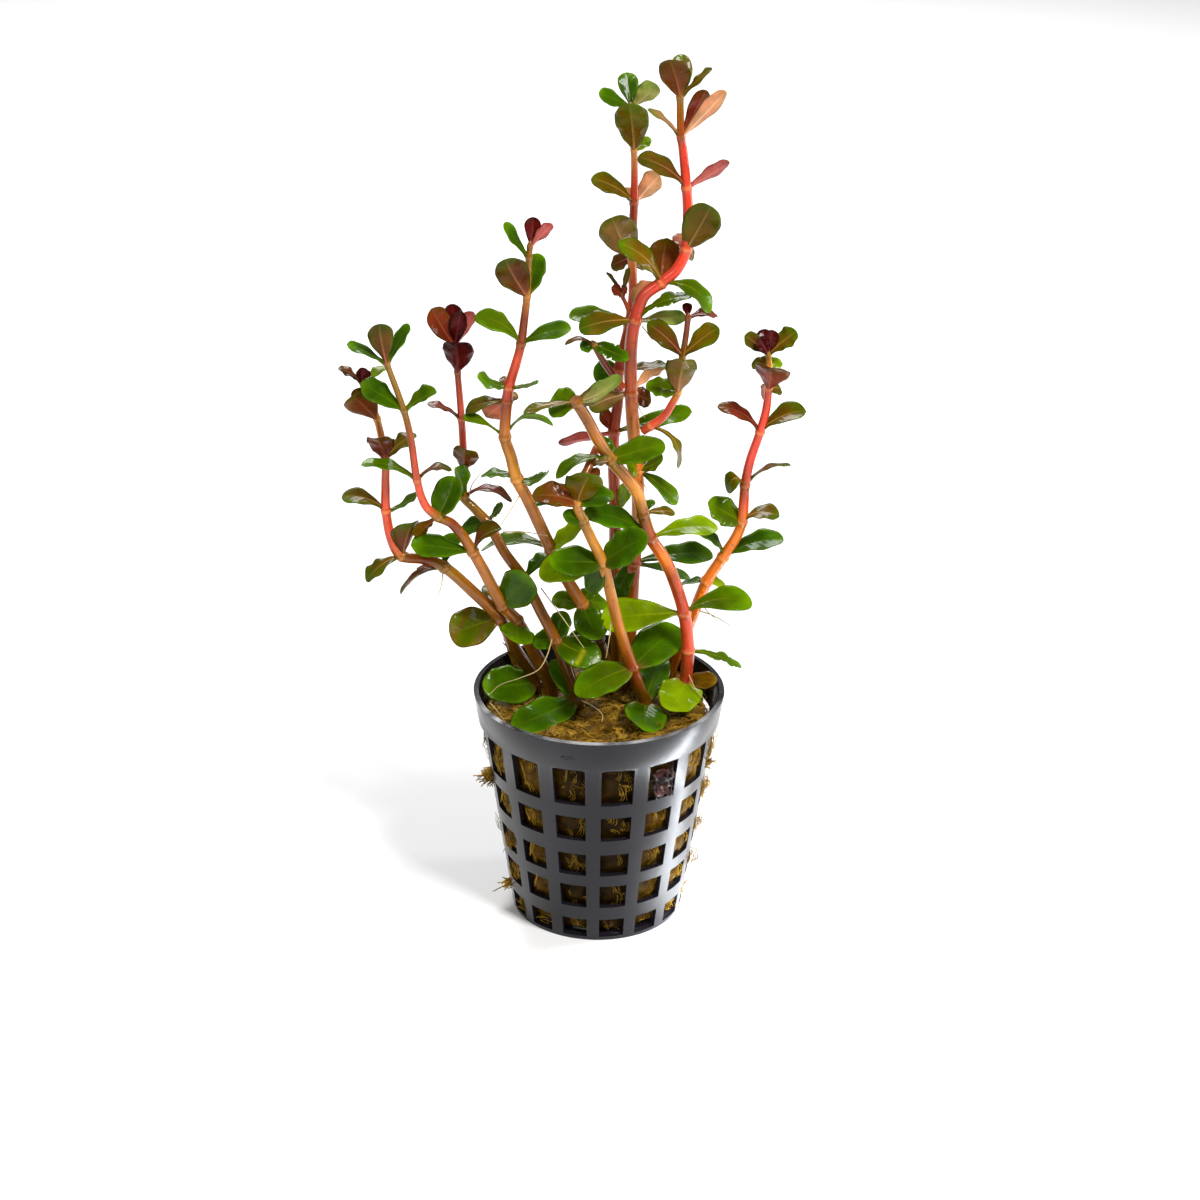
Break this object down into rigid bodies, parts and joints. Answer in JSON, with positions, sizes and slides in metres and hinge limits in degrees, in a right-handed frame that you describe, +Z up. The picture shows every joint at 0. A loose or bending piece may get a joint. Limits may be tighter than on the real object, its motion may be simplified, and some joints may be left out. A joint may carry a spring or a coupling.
{
  "type": "potted aquarium stem plant",
  "caption": "Upright shoots of small paired oval leaves, green low down and red at the tips, rooted in a rock wool plug in a slotted net pot.",
  "frame": {"origin": "middle of the pot's base, on the surface it stands on", "axes": "+Z up along the pot's axis; -Y towards the picture's viewer; +X to the viewer's right"},
  "size_m": [0.0885, 0.05, 0.172],
  "materials": {
    "net_pot": "satin",
    "rock_wool": "fibrous",
    "far_left_shoot": "glossy leaf",
    "left_shoot": "glossy leaf",
    "maroon_tip_shoot": "glossy leaf",
    "middle_shoot": "glossy leaf",
    "tall_shoot": "glossy leaf",
    "tallest_shoot": "glossy leaf",
    "small_side_shoot": "glossy leaf",
    "left_side_shoot": "glossy leaf",
    "right_side_shoot": "glossy leaf",
    "cut_top_shoot": "glossy leaf",
    "centre_shoot": "glossy leaf",
    "right_shoot": "glossy leaf"
  },
  "bodies": {
    "root": {"net_pot": "net_pot", "rock_wool": "rock_wool", "far_left_shoot": "far_left_shoot", "left_shoot": "left_shoot", "maroon_tip_shoot": "maroon_tip_shoot", "middle_shoot": "middle_shoot", "tall_shoot": "tall_shoot", "tallest_shoot": "tallest_shoot", "small_side_shoot": "small_side_shoot", "left_side_shoot": "left_side_shoot", "right_side_shoot": "right_side_shoot", "cut_top_shoot": "cut_top_shoot", "centre_shoot": "centre_shoot", "right_shoot": "right_shoot"}
  },
  "joints": []
}
